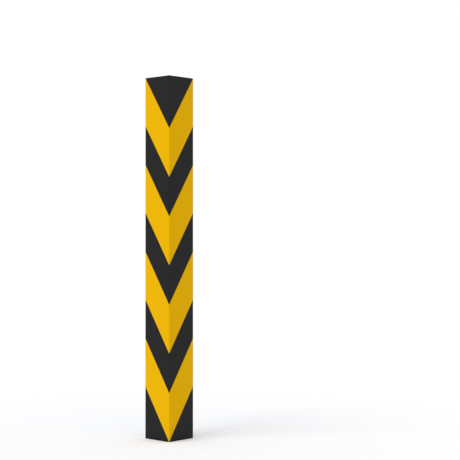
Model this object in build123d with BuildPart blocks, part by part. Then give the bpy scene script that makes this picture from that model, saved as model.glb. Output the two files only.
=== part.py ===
from build123d import *
import math
import os

# Corner guard: a rolled steel angle, with reflective chevrons folded round its arris and strips
# of foam tape on its inner faces that hold it to the corner of a wall.
#
# Millimetres, +Z up. The origin is on the floor, where the inner faces of the two legs would meet.
# Seen from in front of the arris, which points to -X -Y, the right leg runs along +X and the left
# leg along +Y.

# Angle
HEIGHT = 800.0
LEG = 75.0  # outside width of a leg, from the arris to its toe
WALL = 6.0
ROOT_RADIUS = 8.0  # rolled fillet inside the corner
TOE_LAND = 1.0  # square part of a leg's end, outside its rolled toe radius
ARRIS_RADIUS = 1.0
EDGE_BREAK = 0.4  # chamfer on the sawn ends and on the outer edges of the toes

# Chevrons
CHEVRON_COUNT = 4
BAND_HEIGHT = 106.0  # height of a band, measured along the arris
BAND_SLOPE = 57.0  # degrees from level at which a band climbs away from the arris
FILM_THICKNESS = 0.35
FILM_MARGIN = 0.2  # paint left bare between a film and a broken edge

# Foam tape
STRIPS_PER_LEG = 2
TAPE_WIDTH = 19.0
TAPE_THICKNESS = 3.0
TAPE_END = 20.0  # bare length above and below a strip

# What follows from the angle
toe = LEG - WALL  # end of a leg, measured from the origin
toe_radius = WALL - TOE_LAND
film_edge = EDGE_BREAK + FILM_MARGIN  # from an end or a toe of the angle to the nearest film

# What follows for the chevrons: they fill the height from end to end, evenly spaced
film_reach = LEG - film_edge  # from the arris to a film's outer edge
band_climb = math.tan(math.radians(BAND_SLOPE))
band_rise = band_climb * (film_reach + FILM_THICKNESS)
band_pitch = (HEIGHT - 2 * film_edge - band_rise - BAND_HEIGHT) / (CHEVRON_COUNT - 1)

# What follows for the V that a film is cut to, drawn square on from the front and past the toes
outline_reach = LEG + FILM_THICKNESS
outline_half_width = outline_reach / math.sqrt(2)
outline_rise = band_climb * outline_reach

# What follows for the tape: the strips share the flat of a leg, between its two radii, evenly spaced
tape_flat = toe - ROOT_RADIUS - toe_radius
strip_space = (tape_flat - STRIPS_PER_LEG * TAPE_WIDTH) / (STRIPS_PER_LEG + 1)

# The guard is alike on both sides of the plane through its arris, and is seen square on from the front
MIDDLE_PLANE = Plane(origin=(0, 0, 0), x_dir=(0, 0, 1), z_dir=(1, -1, 0))
FRONT_PLANE = Plane(origin=(-WALL, -WALL, 0), x_dir=(1, -1, 0), z_dir=(-1, -1, 0))

os.makedirs("parts", exist_ok=True)


def corner(sketch, x, y):
    """The vertex of a sketch that is nearest to a point."""
    return sketch.vertices().sort_by_distance((x, y, 0))[0]


def save(builder, name):
    """Labels a finished piece and writes it under its name."""
    builder.part.label = name
    export_step(builder.part, f"parts/{name}.step")


# Angle: the rolled section drawn up to the guard's height, with its sawn ends deburred
with BuildPart() as guard_angle:
    with BuildSketch() as section:
        with BuildLine():
            Polyline(
                (-WALL, -WALL),
                (toe, -WALL),
                (toe, 0),
                (0, 0),
                (0, toe),
                (-WALL, toe),
                close=True,
            )
        make_face()
        fillet(corner(section, -WALL, -WALL), ARRIS_RADIUS)
        fillet(corner(section, 0, 0), ROOT_RADIUS)
        fillet([corner(section, toe, 0), corner(section, 0, toe)], toe_radius)
        chamfer([corner(section, toe, -WALL), corner(section, -WALL, toe)], EDGE_BREAK)
    extrude(amount=HEIGHT)
    sawn_ends = guard_angle.faces().filter_by(Axis.Z)
    chamfer(sawn_ends.edges(), EDGE_BREAK)
save(guard_angle, "guard_angle")

# Chevrons: a skin of film round the arris, cut to a V that points down, numbered from the foot
for number in range(1, CHEVRON_COUNT + 1):
    tip = film_edge + (number - 1) * band_pitch
    wing = tip + outline_rise
    with BuildPart() as chevron:
        with BuildSketch():
            with BuildLine():
                FilletPolyline(
                    (film_reach - WALL, -WALL),
                    (-WALL, -WALL),
                    (-WALL, film_reach - WALL),
                    radius=ARRIS_RADIUS,
                )
                offset(amount=FILM_THICKNESS, side=Side.LEFT)
            make_face()
        extrude(amount=HEIGHT)
        with BuildSketch(FRONT_PLANE):
            with BuildLine():
                Polyline(
                    (0, tip),
                    (outline_half_width, wing),
                    (outline_half_width, wing + BAND_HEIGHT),
                    (0, tip + BAND_HEIGHT),
                    (-outline_half_width, wing + BAND_HEIGHT),
                    (-outline_half_width, wing),
                    close=True,
                )
            make_face()
        extrude(amount=LEG, both=True, mode=Mode.INTERSECT)
    save(chevron, f"chevron_{number}")

# Foam tape: strips on the flat of each leg, numbered from the root to the toe
for number in range(1, STRIPS_PER_LEG + 1):
    strip_middle = ROOT_RADIUS + number * (strip_space + TAPE_WIDTH) - TAPE_WIDTH / 2
    with BuildPart() as right_tape:
        with BuildSketch(Plane.XY.offset(TAPE_END)):
            with Locations((strip_middle, TAPE_THICKNESS / 2)):
                Rectangle(TAPE_WIDTH, TAPE_THICKNESS)
        extrude(amount=HEIGHT - 2 * TAPE_END)
    with BuildPart() as left_tape:
        mirror(right_tape.part, about=MIDDLE_PLANE)
    save(right_tape, f"right_tape_{number}")
    save(left_tape, f"left_tape_{number}")

# The tape has to stand a square wall arris clear of the rolled root
arris_room = ROOT_RADIUS - math.sqrt(2) * (ROOT_RADIUS - TAPE_THICKNESS)
print(f"chevron pitch {band_pitch:.2f} mm, bare paint between chevrons {band_pitch - BAND_HEIGHT:.2f} mm")
print(f"bare width beside a strip of tape {strip_space:.2f} mm")
print(f"room from a square wall arris to the root {arris_room:.2f} mm")
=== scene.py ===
import logging
import math
import random
from dataclasses import dataclass
from enum import Enum
from functools import partial
from typing import Any

import bpy
from bpy.types import Material, Node, NodeSocket, NodeTree, Object
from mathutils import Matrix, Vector


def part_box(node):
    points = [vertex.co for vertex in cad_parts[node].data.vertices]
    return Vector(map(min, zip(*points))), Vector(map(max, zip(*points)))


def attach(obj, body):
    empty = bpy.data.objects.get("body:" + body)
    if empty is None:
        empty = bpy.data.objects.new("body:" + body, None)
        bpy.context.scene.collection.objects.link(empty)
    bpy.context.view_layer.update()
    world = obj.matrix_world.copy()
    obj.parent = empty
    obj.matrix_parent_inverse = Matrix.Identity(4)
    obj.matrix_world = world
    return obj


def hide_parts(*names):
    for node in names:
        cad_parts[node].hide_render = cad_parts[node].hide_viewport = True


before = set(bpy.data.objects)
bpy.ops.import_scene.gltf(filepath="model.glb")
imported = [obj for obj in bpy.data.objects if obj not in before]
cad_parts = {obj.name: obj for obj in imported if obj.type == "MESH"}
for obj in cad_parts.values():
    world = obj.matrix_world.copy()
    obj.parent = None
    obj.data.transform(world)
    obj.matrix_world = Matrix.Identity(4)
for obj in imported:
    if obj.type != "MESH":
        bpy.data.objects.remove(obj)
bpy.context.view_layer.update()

MM = 0.001
WELD = 0.001 * MM  # vertices closer than this are one
CREASE = math.radians(35)  # faces that meet at more than this meet in a crease
CREASE_STEPS = 3  # faces across a rounded crease
SQUARE = 0.98  # a face whose normal has this much of an axis, of 1, is square to it
WHITE = "#FFFFFF"
SHADER = "Principled BSDF"  # the node that a new material starts with
NOISE_LOW, NOISE_HIGH = 0.3, 0.7  # a noise texture's values lie mostly between these
WAVE_LENGTH = math.sqrt(2) * math.pi / 10  # on a level face, of diagonal waves of scale 1

Value = float | NodeSocket  # a constant, or a socket to link from

log = logging.getLogger("corner_guard")


class Slot(Enum):
    """The record's material slots."""

    PAINT = "black_powder_coat"
    FILM = "yellow_reflective_film"
    TAPE = "foam_tape"


class Leg(Enum):
    """The angle's legs as seen from in front of its arris, with the turn from +X to each."""

    RIGHT = 0.0
    LEFT = math.pi / 2


def linear(hex_colour: str) -> tuple[float, ...]:
    """Turns an sRGB hex colour into linear light.

    Args:
        hex_colour: A hash sign and six hex digits.

    Returns:
        Red, green, blue and alpha for a shader socket.
    """
    encoded = (int(hex_colour[start:start + 2], 16) / 255 for start in (1, 3, 5))
    return (*(c / 12.92 if c <= 0.04045 else ((c + 0.055) / 1.055) ** 2.4 for c in encoded), 1.0)


def wire(tree: NodeTree, node: Node, inputs: dict[str | int, Any]) -> None:
    """Sets a node's inputs.

    Args:
        tree: The node's tree.
        node: The node.
        inputs: Constants, or sockets to link from, by input name or place.
    """
    for key, value in inputs.items():
        if isinstance(value, NodeSocket):
            tree.links.new(value, node.inputs[key])
        else:
            node.inputs[key].default_value = value


def add_node(
    tree: NodeTree,
    kind: str,
    inputs: dict[str | int, Any] | None = None,
    output: str | int = 0,
    **settings: Any,
) -> NodeSocket:
    """Adds a node with its settings and links.

    Args:
        tree: Node tree of a material, a world or a shape.
        kind: Blender's identifier for the kind of node.
        inputs: Constants, or sockets to link from, by input name or place.
        output: Name or place of the output to go on from.
        **settings: Properties of the node itself.

    Returns:
        That output; its node has the others.
    """
    node = tree.nodes.new(kind)
    for name, value in settings.items():
        setattr(node, name, value)
    wire(tree, node, inputs or {})
    return node.outputs[output]


def new_material(name: str) -> tuple[Material, NodeTree]:
    """Makes a node material with a plain shader.

    Args:
        name: The material's name.

    Returns:
        The material and its node tree.
    """
    material = bpy.data.materials.new(name)
    material.use_nodes = True
    return material, material.node_tree


@dataclass(frozen=True)
class PowderCoat:
    """Black polyester powder, sprayed and baked on rolled steel."""

    thick_colour: str = "#0D0D0E"
    thin_colour: str = "#151516"
    gloss_roughness: float = 0.15
    dull_roughness: float = 0.27
    specular_level: float = 0.17
    patch_mm: float = 70.0  # patches where the powder lies thicker
    patch_detail: float = 3.0
    peel_mm: float = 2.0
    peel_detail: float = 1.0
    peel_depth_mm: float = 0.02
    saw_stroke_mm: float = 2.0
    saw_waver: float = 1.5  # how far a stroke strays, in radians of its wave
    saw_detail: float = 1.0
    saw_depth_mm: float = 0.06

    def material(self) -> Material:
        """Builds the paint.

        Returns:
            The material of the whole angle.
        """
        # a deep black with a soft gloss that mirrors its surroundings dimly, a faint orange-peel
        # ripple, and the saw's strokes showing through on the cut ends
        material, tree = new_material("black_powder_coat_on_rolled_steel")
        add = partial(add_node, tree)
        place = add("ShaderNodeTexCoord", output="Object")
        patch = add(
            "ShaderNodeTexNoise",
            {"Vector": place, "Scale": 1 / (self.patch_mm * MM), "Detail": self.patch_detail},
        )
        colour = add(
            "ShaderNodeMix",
            {"Factor": patch, "A": linear(self.thick_colour), "B": linear(self.thin_colour)},
            output="Result",
            data_type="RGBA",
        )
        roughness = add(
            "ShaderNodeMapRange",
            {
                "Value": patch,
                "From Min": NOISE_LOW,
                "From Max": NOISE_HIGH,
                "To Min": self.gloss_roughness,
                "To Max": self.dull_roughness,
            },
        )
        peel = add(
            "ShaderNodeTexNoise",
            {"Vector": place, "Scale": 1 / (self.peel_mm * MM), "Detail": self.peel_detail},
        )
        ripple = add("ShaderNodeBump", {"Distance": self.peel_depth_mm * MM, "Height": peel})
        strokes = add(
            "ShaderNodeTexWave",
            {
                "Vector": place,
                "Scale": WAVE_LENGTH / (self.saw_stroke_mm * MM),
                "Distortion": self.saw_waver,
                "Detail": self.saw_detail,
            },
            output="Fac",
            bands_direction="DIAGONAL",
        )
        facing = add("ShaderNodeNewGeometry", output="True Normal")
        rise = add("ShaderNodeSeparateXYZ", {"Vector": facing}, output="Z")
        level = add("ShaderNodeMath", {0: rise}, operation="ABSOLUTE")
        on_end = add("ShaderNodeMath", {0: level, 1: SQUARE}, operation="GREATER_THAN")
        sawn = add(
            "ShaderNodeBump",
            {
                "Strength": on_end,
                "Distance": self.saw_depth_mm * MM,
                "Height": strokes,
                "Normal": ripple,
            },
        )
        wire(
            tree,
            tree.nodes[SHADER],
            {
                "Base Color": colour,
                "Roughness": roughness,
                "Specular IOR Level": self.specular_level,
                "Normal": sawn,
            },
        )
        return material


@dataclass(frozen=True)
class ReflectiveFilm:
    """Yellow retroreflective film: glass beads in a coloured resin, cut on a plotter."""

    colour: str = "#F4BF00"
    bead_colour: str = "#E6AC00"
    cut_colour: str = "#A8801C"
    roughness: float = 0.42
    cut_roughness: float = 0.6
    specular_level: float = 0.08
    bead_mm: float = 0.8  # real beads are a tenth of this, too fine to show
    bead_depth_mm: float = 0.03

    def face(self) -> Material:
        """Builds the film's face.

        Returns:
            The material of both faces.
        """
        # a warm traffic yellow by day, dull rather than glossy, with a fine beaded grain
        material, tree = new_material("yellow_reflective_film")
        add = partial(add_node, tree)
        place = add("ShaderNodeTexCoord", output="Object")
        beads = add("ShaderNodeTexVoronoi", {"Vector": place, "Scale": 1 / (self.bead_mm * MM)})
        colour = add(
            "ShaderNodeMix",
            {"Factor": beads, "A": linear(self.colour), "B": linear(self.bead_colour)},
            output="Result",
            data_type="RGBA",
        )
        grain = add("ShaderNodeBump", {"Distance": self.bead_depth_mm * MM, "Height": beads})
        wire(
            tree,
            tree.nodes[SHADER],
            {
                "Base Color": colour,
                "Roughness": self.roughness,
                "Specular IOR Level": self.specular_level,
                "Specular Tint": linear(self.colour),
                "Normal": grain,
            },
        )
        return material

    def cut_edge(self) -> Material:
        """Builds the film's cut edge.

        Returns:
            The material of the cut, with its layers of resin and adhesive.
        """
        # a dull, darker line along the cut
        material, tree = new_material("reflective_film_cut_edge")
        add = partial(add_node, tree)
        place = add("ShaderNodeTexCoord", output="Object")
        layers = add("ShaderNodeTexNoise", {"Vector": place, "Scale": 1 / (self.bead_mm * MM)})
        colour = add(
            "ShaderNodeMix",
            {"Factor": layers, "A": linear(self.cut_colour), "B": linear(self.bead_colour)},
            output="Result",
            data_type="RGBA",
        )
        wire(
            tree,
            tree.nodes[SHADER],
            {
                "Base Color": colour,
                "Roughness": self.cut_roughness,
                "Specular IOR Level": self.specular_level,
            },
        )
        return material


@dataclass(frozen=True)
class FoamTape:
    """Grey closed-cell acrylic foam with adhesive on both faces, slit from a wide roll."""

    wall_colour: str = "#85888B"
    cell_colour: str = "#5C5F63"
    face_colour: str = "#606468"
    face_pale_colour: str = "#8B8F93"
    side_roughness: float = 0.85
    tacky_roughness: float = 0.3
    dusty_roughness: float = 0.55
    side_specular_level: float = 0.2
    face_specular_level: float = 0.3
    cell_mm: float = 0.7  # real cells are a quarter of this, too fine to show
    cell_depth_mm: float = 0.1
    roll_mark_mm: float = 9.0
    roll_mark_detail: float = 4.0
    roll_mark_grit: float = 0.65  # how strongly the finer marks show
    streak_mm: float = 1.5  # width of the streaks that the die leaves along the tape
    streak_length_mm: float = 150.0
    streak_detail: float = 3.0
    streak_share: float = 0.5  # of the streaks in the whole unevenness
    face_depth_mm: float = 0.08

    def side(self) -> Material:
        """Builds the cut foam.

        Returns:
            The material of the slit sides and the cut ends.
        """
        # a dull mid grey with small cells cut open
        material, tree = new_material("grey_acrylic_foam_slit_side")
        add = partial(add_node, tree)
        place = add("ShaderNodeTexCoord", output="Object")
        cells = add("ShaderNodeTexVoronoi", {"Vector": place, "Scale": 1 / (self.cell_mm * MM)})
        colour = add(
            "ShaderNodeMix",
            {"Factor": cells, "A": linear(self.cell_colour), "B": linear(self.wall_colour)},
            output="Result",
            data_type="RGBA",
        )
        pits = add("ShaderNodeBump", {"Distance": self.cell_depth_mm * MM, "Height": cells})
        wire(
            tree,
            tree.nodes[SHADER],
            {
                "Base Color": colour,
                "Roughness": self.side_roughness,
                "Specular IOR Level": self.side_specular_level,
                "Normal": pits,
            },
        )
        return material

    def face(self) -> Material:
        """Builds the adhesive.

        Returns:
            The material of the two faces, with marks of the roll and streaks along the tape.
        """
        # smoother than the slit sides, cloudy and streaked, with the uneven shine of adhesive
        material, tree = new_material("grey_acrylic_foam_adhesive_face")
        add = partial(add_node, tree)
        place = add("ShaderNodeTexCoord", output="Object")
        marks = add(
            "ShaderNodeTexNoise",
            {
                "Vector": place,
                "Scale": 1 / (self.roll_mark_mm * MM),
                "Detail": self.roll_mark_detail,
                "Roughness": self.roll_mark_grit,
            },
        )
        drawn_out = add(
            "ShaderNodeMapping",
            {"Vector": place, "Scale": (1.0, 1.0, self.streak_mm / self.streak_length_mm)},
        )
        streaks = add(
            "ShaderNodeTexNoise",
            {"Vector": drawn_out, "Scale": 1 / (self.streak_mm * MM), "Detail": self.streak_detail},
        )
        unevenness = add("ShaderNodeMix", {"Factor": self.streak_share, "A": marks, "B": streaks})
        colour = add(
            "ShaderNodeMix",
            {"Factor": unevenness, "A": linear(self.face_colour), "B": linear(self.face_pale_colour)},
            output="Result",
            data_type="RGBA",
        )
        roughness = add(
            "ShaderNodeMapRange",
            {
                "Value": unevenness,
                "From Min": NOISE_LOW,
                "From Max": NOISE_HIGH,
                "To Min": self.tacky_roughness,
                "To Max": self.dusty_roughness,
            },
        )
        ridges = add("ShaderNodeBump", {"Distance": self.face_depth_mm * MM, "Height": unevenness})
        wire(
            tree,
            tree.nodes[SHADER],
            {
                "Base Color": colour,
                "Roughness": roughness,
                "Specular IOR Level": self.face_specular_level,
                "Normal": ridges,
            },
        )
        return material


class ShapeTree:
    """A geometry node tree with named inputs for its sizes, which makes plain meshes."""

    def __init__(self, name: str, sizes: tuple[str, ...], finishes: tuple[str, ...]) -> None:
        """Starts the tree.

        Args:
            name: The tree's name.
            sizes: Names of the inputs for lengths, slopes and turns.
            finishes: Names of the inputs for materials.
        """
        self.tree = bpy.data.node_groups.new(name, "GeometryNodeTree")
        self.add = partial(add_node, self.tree)
        for kind, names in (("NodeSocketFloat", sizes), ("NodeSocketMaterial", finishes)):
            for socket in names:
                self.tree.interface.new_socket(socket, in_out="INPUT", socket_type=kind)
        self.tree.interface.new_socket("Shape", in_out="OUTPUT", socket_type="NodeSocketGeometry")
        self.given = self.add("NodeGroupInput").node.outputs

    def rounded_line(
        self, corners: list[tuple[Value, Value, Value]], closed: bool, arc_points: int
    ) -> NodeSocket:
        """Draws a line on the floor plane with rounded corners.

        Args:
            corners: The x, y and radius of each corner.
            closed: Whether the last corner joins the first.
            arc_points: Points along each rounded corner.

        Returns:
            The curve.
        """
        # a plain curve with a point for each corner, which is then moved there
        if closed:
            line = self.add("GeometryNodeCurvePrimitiveCircle", {"Resolution": len(corners)})
        else:
            stroke = self.add("GeometryNodeCurvePrimitiveLine")
            line = self.add("GeometryNodeResampleCurve", {"Curve": stroke, "Count": len(corners)})
        number = self.add("GeometryNodeInputIndex")
        places = [self.add("ShaderNodeCombineXYZ", {"X": x, "Y": y}) for x, y, _ in corners]
        radii = [radius for _, _, radius in corners]
        of_corner = []
        for kind, choices in (("VECTOR", places), ("FLOAT", radii)):
            switch = self.add("GeometryNodeIndexSwitch", {"Index": number}, data_type=kind).node
            for _ in choices[len(switch.index_switch_items):]:
                switch.index_switch_items.new()
            wire(self.tree, switch, {str(i): choice for i, choice in enumerate(choices)})
            of_corner.append(switch.outputs[0])
        place, radius = of_corner
        bent = self.add("GeometryNodeSetPosition", {"Geometry": line, "Position": place})
        return self.add(
            "GeometryNodeFilletCurve",
            {"Curve": bent, "Count": arc_points, "Radius": radius},
            mode="POLY",
        )

    def thicken(self, sheet: NodeSocket, length: NodeSocket) -> tuple[NodeSocket, NodeSocket]:
        """Makes a closed solid of a sheet by pushing a copy of it along its normals.

        Args:
            sheet: The faces to thicken.
            length: Length of the push.

        Returns:
            The closed mesh, and which of its faces are the new sides.
        """
        pushed = self.add(
            "GeometryNodeExtrudeMesh",
            {"Mesh": sheet, "Offset Scale": length, "Individual": False},
            mode="FACES",
        )
        # the sheet itself, turned over, closes the side that the push leaves open
        both = self.add("GeometryNodeJoinGeometry", {"Geometry": pushed})
        wire(self.tree, both.node, {"Geometry": self.add("GeometryNodeFlipFaces", {"Mesh": sheet})})
        whole = self.add("GeometryNodeMergeByDistance", {"Geometry": both, "Distance": WELD})
        return whole, pushed.node.outputs["Side"]

    def end(self, shape: NodeSocket, finishes: dict[str, NodeSocket | bool]) -> None:
        """Ends the tree in real geometry with its creases and finishes.

        Args:
            shape: The finished geometry.
            finishes: Which faces take each material, by its input's name; True is all of them.
        """
        angle = self.add("GeometryNodeInputMeshEdgeAngle", output="Unsigned Angle")
        crease = self.add("FunctionNodeCompare", {"A": angle, "B": CREASE}, operation="GREATER_THAN")
        shape = self.add("GeometryNodeSetShadeSmooth", {"Geometry": shape})
        shape = self.add(
            "GeometryNodeSetShadeSmooth",
            {"Geometry": shape, "Selection": crease, "Shade Smooth": False},
            domain="EDGE",
        )
        shape = self.add("GeometryNodeRealizeInstances", {"Geometry": shape})
        for name, faces in finishes.items():
            shape = self.add(
                "GeometryNodeSetMaterial",
                {"Geometry": shape, "Selection": faces, "Material": self.given[name]},
            )
        wire(self.tree, self.tree.nodes.new("NodeGroupOutput"), {"Shape": shape})

    def grow(self, name: str, values: dict[str, float | Material], rounding: float = 0.0) -> Object:
        """Makes one piece with the tree's shape.

        Args:
            name: The piece's name.
            values: A value for each of the tree's inputs.
            rounding: Radius on the creases, or 0 to leave them sharp.

        Returns:
            The piece as a plain mesh.
        """
        piece = bpy.data.objects.new(name, bpy.data.meshes.new(f"{name}_start"))
        bpy.context.scene.collection.objects.link(piece)
        shape = piece.modifiers.new("shape", "NODES")
        shape.node_group = self.tree
        for item in self.tree.interface.items_tree:
            if item.in_out == "INPUT":
                shape[item.identifier] = values[item.name]
        if rounding:
            edges = piece.modifiers.new("edges", "BEVEL")
            edges.width = rounding
            edges.segments = CREASE_STEPS
            edges.limit_method = "ANGLE"
            edges.angle_limit = CREASE
        normals = piece.modifiers.new("normals", "WEIGHTED_NORMAL")
        normals.keep_sharp = True
        graph = bpy.context.evaluated_depsgraph_get()
        plain = bpy.data.meshes.new_from_object(
            piece.evaluated_get(graph), preserve_all_data_layers=True, depsgraph=graph
        )
        plain.name = name
        piece.modifiers.clear()
        start, piece.data = piece.data, plain
        bpy.data.meshes.remove(start)
        return piece


def numbered_nodes(stem: str) -> dict[str, str]:
    """Finds the CAD nodes of a piece that repeats.

    Args:
        stem: What their names have before the number.

    Returns:
        Their names in order, by number.
    """
    return {node.removeprefix(stem): node for node in sorted(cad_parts) if node.startswith(stem)}


def seat(piece: Object, node: str) -> None:
    """Puts a finished piece on the frame in place of its CAD node.

    Args:
        piece: The finished piece.
        node: The CAD node that it stands for.
    """
    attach(piece, "root")
    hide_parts(node)
    log.info("%s stands for %s, %d faces", piece.name, node, len(piece.data.polygons))


@dataclass
class RolledAngle:
    """The guard's body: a length of rolled steel angle, sawn off and painted."""

    leg: float
    wall: float
    height: float
    root_radius: float = 8.0 * MM
    toe_land: float = 1.0 * MM
    arris_radius: float = 1.0 * MM
    toe_edge_radius: float = 0.5 * MM
    end_edge_radius: float = 0.3 * MM
    arc_points: int = 10

    @classmethod
    def from_frame(cls) -> "RolledAngle":
        """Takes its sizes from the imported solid."""
        low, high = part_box("guard_angle")
        return cls(leg=high.x - low.x, wall=-low.x, height=high.z - low.z)

    def tree(self) -> ShapeTree:
        """Builds the shape: the rolled section, drawn up to the guard's height.

        Returns:
            The tree.
        """
        shape = ShapeTree(
            "rolled_angle",
            ("Leg", "Wall", "Height", "Root radius", "Toe radius", "Arris radius", "Toe edge radius"),
            ("Paint",),
        )
        given = shape.given
        outer = shape.add("ShaderNodeMath", {0: given["Wall"], 1: -1.0}, operation="MULTIPLY")
        toe = shape.add("ShaderNodeMath", {0: given["Leg"], 1: given["Wall"]}, operation="SUBTRACT")
        section = shape.rounded_line(
            [
                (outer, outer, given["Arris radius"]),
                (toe, outer, given["Toe edge radius"]),
                (toe, 0.0, given["Toe radius"]),
                (0.0, 0.0, given["Root radius"]),
                (0.0, toe, given["Toe radius"]),
                (outer, toe, given["Toe edge radius"]),
            ],
            closed=True,
            arc_points=self.arc_points,
        )
        foot = shape.add("GeometryNodeFillCurve", {"Curve": section}, mode="NGONS")
        length, _ = shape.thicken(foot, given["Height"])
        shape.end(length, {"Paint": True})
        return shape

    def dress(self, coat: PowderCoat) -> Object:
        """Makes the painted angle.

        Args:
            coat: Its finish.

        Returns:
            The piece.
        """
        values = {
            "Leg": self.leg,
            "Wall": self.wall,
            "Height": self.height,
            "Root radius": self.root_radius,
            "Toe radius": self.wall - self.toe_land,
            "Arris radius": self.arris_radius,
            "Toe edge radius": self.toe_edge_radius,
            "Paint": coat.material(),
        }
        return self.tree().grow("painted_angle", values, rounding=self.end_edge_radius)


@dataclass
class ChevronFilms:
    """The yellow chevrons: films cut to a V and folded round the arris."""

    angle: RolledAngle
    slope: float = math.radians(57)  # climb of a band away from the arris, from level
    fold_points: int = 10  # an even number puts a point on the fold

    def tree(self) -> ShapeTree:
        """Builds the shape: a skin on the two outer faces, sheared into a V that points down.

        Returns:
            The tree.
        """
        shape = ShapeTree(
            "chevron_film",
            ("Heel", "Reach", "Thickness", "Arris radius", "Tip", "Band height", "Climb"),
            ("Face", "Cut edge"),
        )
        given = shape.given
        heel, reach = given["Heel"], given["Reach"]
        path = shape.rounded_line(
            [(reach, heel, 0.0), (heel, heel, given["Arris radius"]), (heel, reach, 0.0)],
            closed=False,
            arc_points=self.fold_points,
        )
        lower_edge = shape.add("GeometryNodeCurveToMesh", {"Curve": path})
        upward = shape.add("ShaderNodeCombineXYZ", {"Z": given["Band height"]})
        skin = shape.add(
            "GeometryNodeExtrudeMesh", {"Mesh": lower_edge, "Offset": upward}, mode="EDGES"
        )
        film, cut = shape.thicken(skin, given["Thickness"])

        # on either leg, x and y differ by the distance from the arris
        place = shape.add("GeometryNodeInputPosition")
        x, y, _ = shape.add("ShaderNodeSeparateXYZ", {"Vector": place}).node.outputs
        across = shape.add("ShaderNodeMath", {0: x, 1: y}, operation="SUBTRACT")
        away = shape.add("ShaderNodeMath", {0: across}, operation="ABSOLUTE")
        lift = shape.add(
            "ShaderNodeMath", {0: away, 1: given["Climb"], 2: given["Tip"]}, operation="MULTIPLY_ADD"
        )
        sheared = shape.add(
            "GeometryNodeSetPosition",
            {"Geometry": film, "Offset": shape.add("ShaderNodeCombineXYZ", {"Z": lift})},
        )
        shape.end(sheared, {"Face": True, "Cut edge": cut})
        return shape

    def dress(self, film: ReflectiveFilm) -> dict[str, Object]:
        """Makes one film for each chevron.

        Args:
            film: Their finish.

        Returns:
            The pieces by the CAD node that each stands for.
        """
        tree, face, cut_edge = self.tree(), film.face(), film.cut_edge()
        climb = math.tan(self.slope)
        pieces = {}
        for number, node in numbered_nodes("chevron_").items():
            low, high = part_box(node)
            values = {
                "Heel": -self.angle.wall,
                "Reach": high.x,
                "Thickness": -self.angle.wall - low.x,
                "Arris radius": self.angle.arris_radius,
                "Tip": low.z,
                "Band height": high.z - low.z - climb * (high.x - low.x),
                "Climb": climb,
                "Face": face,
                "Cut edge": cut_edge,
            }
            pieces[node] = tree.grow(f"chevron_film_{number}", values)
        return pieces


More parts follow.
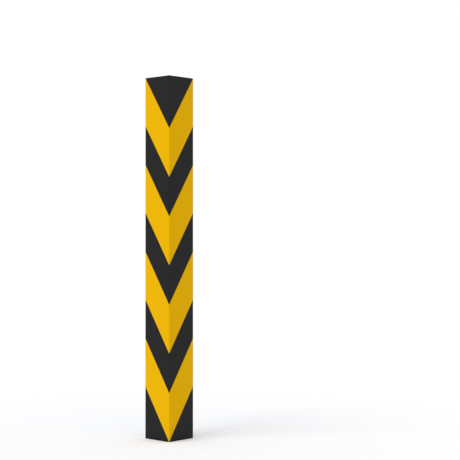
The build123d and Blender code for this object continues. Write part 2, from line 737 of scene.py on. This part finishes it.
@dataclass
class TapeStrips:
    """The foam tape on the inner faces, cut off by hand."""

    bulge: float = 0.25 * MM  # of the slit sides
    edge_radius: float = 0.2 * MM
    arc_points: int = 4
    least_short: float = 0.5 * MM  # what an end is cut short by
    most_short: float = 1.5 * MM
    most_slant: float = 0.04  # of an end, as a slope; over half the width it is less than least_short
    seed: int = 5

    def tree(self) -> ShapeTree:
        """Builds the shape: a bar of foam with bulged sides and ends that are out of square.

        Returns:
            The tree.
        """
        shape = ShapeTree(
            "tape_strip",
            (
                "Width", "Thickness", "Length", "Bulge", "Edge radius", "Foot slant", "Top slant",
                "Turn", "Middle X", "Middle Y", "Foot",
            ),
            ("Side", "Adhesive"),
        )
        given = shape.given
        edge, bow = given["Edge radius"], given["Thickness"]
        right = shape.add("ShaderNodeMath", {0: given["Width"], 1: 0.5}, operation="MULTIPLY")
        right_edge = shape.add("ShaderNodeMath", {0: right, 1: given["Bulge"]}, operation="SUBTRACT")
        back = shape.add("ShaderNodeMath", {0: given["Thickness"], 1: 0.5}, operation="MULTIPLY")
        left, left_edge, front = (
            shape.add("ShaderNodeMath", {0: opposite, 1: -1.0}, operation="MULTIPLY")
            for opposite in (right, right_edge, back)
        )
        section = shape.rounded_line(
            [
                (left_edge, front, edge),
                (right_edge, front, edge),
                (right, 0.0, bow),
                (right_edge, back, edge),
                (left_edge, back, edge),
                (left, 0.0, bow),
            ],
            closed=True,
            arc_points=self.arc_points,
        )
        foot = shape.add("GeometryNodeFillCurve", {"Curve": section}, mode="NGONS")
        bar, _ = shape.thicken(foot, given["Length"])

        # each end leans by its own slant before the strip is turned to its leg and put in its place
        place = shape.add("GeometryNodeInputPosition")
        x, _, z = shape.add("ShaderNodeSeparateXYZ", {"Vector": place}).node.outputs
        along = shape.add("ShaderNodeMath", {0: z, 1: given["Length"]}, operation="DIVIDE")
        slant = shape.add(
            "ShaderNodeMix", {"Factor": along, "A": given["Foot slant"], "B": given["Top slant"]}
        )
        lift = shape.add("ShaderNodeMath", {0: x, 1: slant}, operation="MULTIPLY")
        cut = shape.add(
            "GeometryNodeSetPosition",
            {"Geometry": bar, "Offset": shape.add("ShaderNodeCombineXYZ", {"Z": lift})},
        )
        placed = shape.add(
            "GeometryNodeTransform",
            {
                "Geometry": cut,
                "Translation": shape.add(
                    "ShaderNodeCombineXYZ",
                    {"X": given["Middle X"], "Y": given["Middle Y"], "Z": given["Foot"]},
                ),
                "Rotation": shape.add("ShaderNodeCombineXYZ", {"Z": given["Turn"]}),
            },
        )

        # the adhesive is on the faces towards the steel and towards the wall
        facing = shape.add(
            "ShaderNodeVectorRotate",
            {"Vector": shape.add("GeometryNodeInputNormal"), "Angle": given["Turn"]},
            rotation_type="Z_AXIS",
            invert=True,
        )
        outward = shape.add("ShaderNodeSeparateXYZ", {"Vector": facing}, output="Y")
        flat = shape.add("ShaderNodeMath", {0: outward}, operation="ABSOLUTE")
        adhesive = shape.add("FunctionNodeCompare", {"A": flat, "B": SQUARE}, operation="GREATER_THAN")
        shape.end(placed, {"Side": True, "Adhesive": adhesive})
        return shape

    def dress(self, tape: FoamTape) -> dict[str, Object]:
        """Makes the strips on both legs.

        Args:
            tape: Their finish.

        Returns:
            The pieces by the CAD node that each stands for.
        """
        tree, slit, adhesive = self.tree(), tape.side(), tape.face()
        hand = random.Random(self.seed)
        pieces = {}
        for leg in Leg:
            side = leg.name.lower()
            for number, node in numbered_nodes(f"{side}_tape_").items():
                low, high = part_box(node)
                middle = (low + high) / 2
                thickness, width, length = sorted(high - low)
                foot_short = hand.uniform(self.least_short, self.most_short)
                top_short = hand.uniform(self.least_short, self.most_short)
                values = {
                    "Width": width,
                    "Thickness": thickness,
                    "Length": length - foot_short - top_short,
                    "Bulge": self.bulge,
                    "Edge radius": self.edge_radius,
                    "Foot slant": hand.uniform(-self.most_slant, self.most_slant),
                    "Top slant": hand.uniform(-self.most_slant, self.most_slant),
                    "Turn": leg.value,
                    "Middle X": middle.x,
                    "Middle Y": middle.y,
                    "Foot": low.z + foot_short,
                    "Side": slit,
                    "Adhesive": adhesive,
                }
                pieces[node] = tree.grow(f"foam_strip_{side}_{number}", values)
        return pieces


@dataclass(frozen=True)
class PhotoCamera:
    """The photograph's camera, fitted to the guard's outline: all but level, a little to its right."""

    frame_px: float = 460.0
    focal_px: float = 1196.7
    horizon_px: float = 235.6  # picture row of the horizon
    distance: float = 2608.1 * MM  # along the view, to the arris
    aside: float = 132.58 * MM  # from the arris to the view's axis
    eye_height: float = 450.1 * MM
    turn: float = math.radians(42.364)  # from +X to the view's axis, in plan
    sensor_mm: float = 36.0

    def set_up(self, heel: Vector) -> None:
        """Makes the camera and gives it to the scene.

        Args:
            heel: The foot of the arris.
        """
        forward = Vector((math.cos(self.turn), math.sin(self.turn), 0.0))
        right = Vector((math.sin(self.turn), -math.cos(self.turn), 0.0))
        upward = (self.horizon_px - self.frame_px / 2) / self.focal_px
        data = bpy.data.cameras.new("photo_camera")
        data.sensor_width = self.sensor_mm
        data.lens = self.focal_px / self.frame_px * self.sensor_mm
        camera = bpy.data.objects.new("photo_camera", data)
        bpy.context.scene.collection.objects.link(camera)
        camera.location = heel - forward * self.distance + right * self.aside
        camera.location.z = self.eye_height
        aim = forward + Vector((0.0, 0.0, upward))
        camera.rotation_euler = aim.to_track_quat("-Z", "Y").to_euler()
        bpy.context.scene.camera = camera


@dataclass(frozen=True)
class Studio:
    """A white studio: a pale floor, an even surround and one broad softbox on the left."""

    white: float = 1.0  # strength at which the background shows as white
    surround: float = 0.707  # strength of the surround's light on the object
    floor_colour: str = "#F6F7F9"  # a cool white, which the yellow films warm a little
    floor_lift: float = 0.11  # what the floor shows above its own light
    floor_half_side: float = 8.0
    fade_start: float = 0.25  # from the guard, where the floor starts to turn white
    fade_end: float = 1.05
    key_strength: float = 1.06
    key_breadth: float = math.radians(38)  # as the guard sees it
    key_from: tuple[float, float, float] = (-2.85, 0.5, 2.75)  # only its direction counts

    @staticmethod
    def looking(tree: NodeTree) -> NodeSocket:
        """Tells rays that look at the background from rays of light.

        Args:
            tree: Node tree of the world or of the floor.

        Returns:
            1 for rays that look straight, by a mirror or through glass, and 0 for light.
        """
        path = add_node(tree, "ShaderNodeLightPath").node.outputs
        looks = path["Is Camera Ray"]
        for other in ("Is Glossy Ray", "Is Transmission Ray"):
            looks = add_node(tree, "ShaderNodeMath", {0: looks, 1: path[other]}, operation="MAXIMUM")
        return looks

    def light_surround(self) -> None:
        """Makes the surround: white to look at, and a plain light on the object."""
        world = bpy.data.worlds.new("white_surround")
        world.use_nodes = True
        tree = world.node_tree
        strength = add_node(
            tree,
            "ShaderNodeMapRange",
            {"Value": self.looking(tree), "To Min": self.surround, "To Max": self.white},
        )
        wire(tree, tree.nodes["Background"], {"Color": linear(WHITE), "Strength": strength})
        bpy.context.scene.world = world

    def floor_material(self) -> Material:
        """Builds the floor's finish.

        Returns:
            A matt, pale material that turns white further off.
        """
        # a matt white that takes a soft shadow beside the guard and runs into the surround further off
        material, tree = new_material("pale_studio_floor")
        add = partial(add_node, tree)
        looking = self.looking(tree)
        place = add("ShaderNodeTexCoord", output="Object")
        away = add("ShaderNodeVectorMath", {0: place}, output="Value", operation="LENGTH")
        fade = add(
            "ShaderNodeMapRange",
            {"Value": away, "From Min": self.fade_start, "From Max": self.fade_end},
            interpolation_type="SMOOTHSTEP",
        )
        far = add("ShaderNodeMath", {0: fade, 1: looking}, operation="MULTIPLY")
        lift = add("ShaderNodeMath", {0: looking, 1: self.floor_lift}, operation="MULTIPLY")
        matt = add("ShaderNodeBsdfDiffuse", {"Color": linear(self.floor_colour)})
        near = add("ShaderNodeAddShader", {0: matt, 1: add("ShaderNodeEmission", {"Strength": lift})})
        beyond = add("ShaderNodeEmission", {"Strength": self.white})
        whole = add("ShaderNodeMixShader", {"Fac": far, 1: near, 2: beyond})
        wire(tree, tree.nodes["Material Output"], {"Surface": whole})
        tree.nodes.remove(tree.nodes[SHADER])
        return material

    def lay_floor(self) -> None:
        """Lays the floor, which takes the guard's shadow."""
        half = self.floor_half_side
        corners = [(-half, -half, 0.0), (half, -half, 0.0), (half, half, 0.0), (-half, half, 0.0)]
        mesh = bpy.data.meshes.new("floor")
        mesh.from_pydata(corners, [], [(0, 1, 2, 3)])
        mesh.materials.append(self.floor_material())
        floor = bpy.data.objects.new("floor", mesh)
        bpy.context.scene.collection.objects.link(floor)

    def hang_key(self) -> None:
        """Hangs the key light, a softbox so broad and far off that it falls evenly on the guard."""
        data = bpy.data.lights.new("key_softbox", "SUN")
        data.energy = self.key_strength
        data.angle = self.key_breadth
        lamp = bpy.data.objects.new("key_softbox", data)
        bpy.context.scene.collection.objects.link(lamp)
        lamp.location = self.key_from
        lamp.rotation_euler = lamp.location.to_track_quat("Z", "Y").to_euler()
        lamp.visible_camera = False


def main() -> None:
    """Builds the guard piece by piece, then the studio and the camera."""
    logging.basicConfig(level=logging.INFO, format="%(name)s: %(message)s")
    angle = RolledAngle.from_frame()
    seat(angle.dress(PowderCoat()), "guard_angle")
    for node, piece in ChevronFilms(angle).dress(ReflectiveFilm()).items():
        seat(piece, node)
    for node, piece in TapeStrips().dress(FoamTape()).items():
        seat(piece, node)

    studio = Studio()
    studio.light_surround()
    studio.lay_floor()
    studio.hang_key()
    PhotoCamera().set_up(Vector((-angle.wall, -angle.wall, 0.0)))
    bpy.context.scene.view_settings.view_transform = "Standard"


if __name__ == "__main__":
    main()
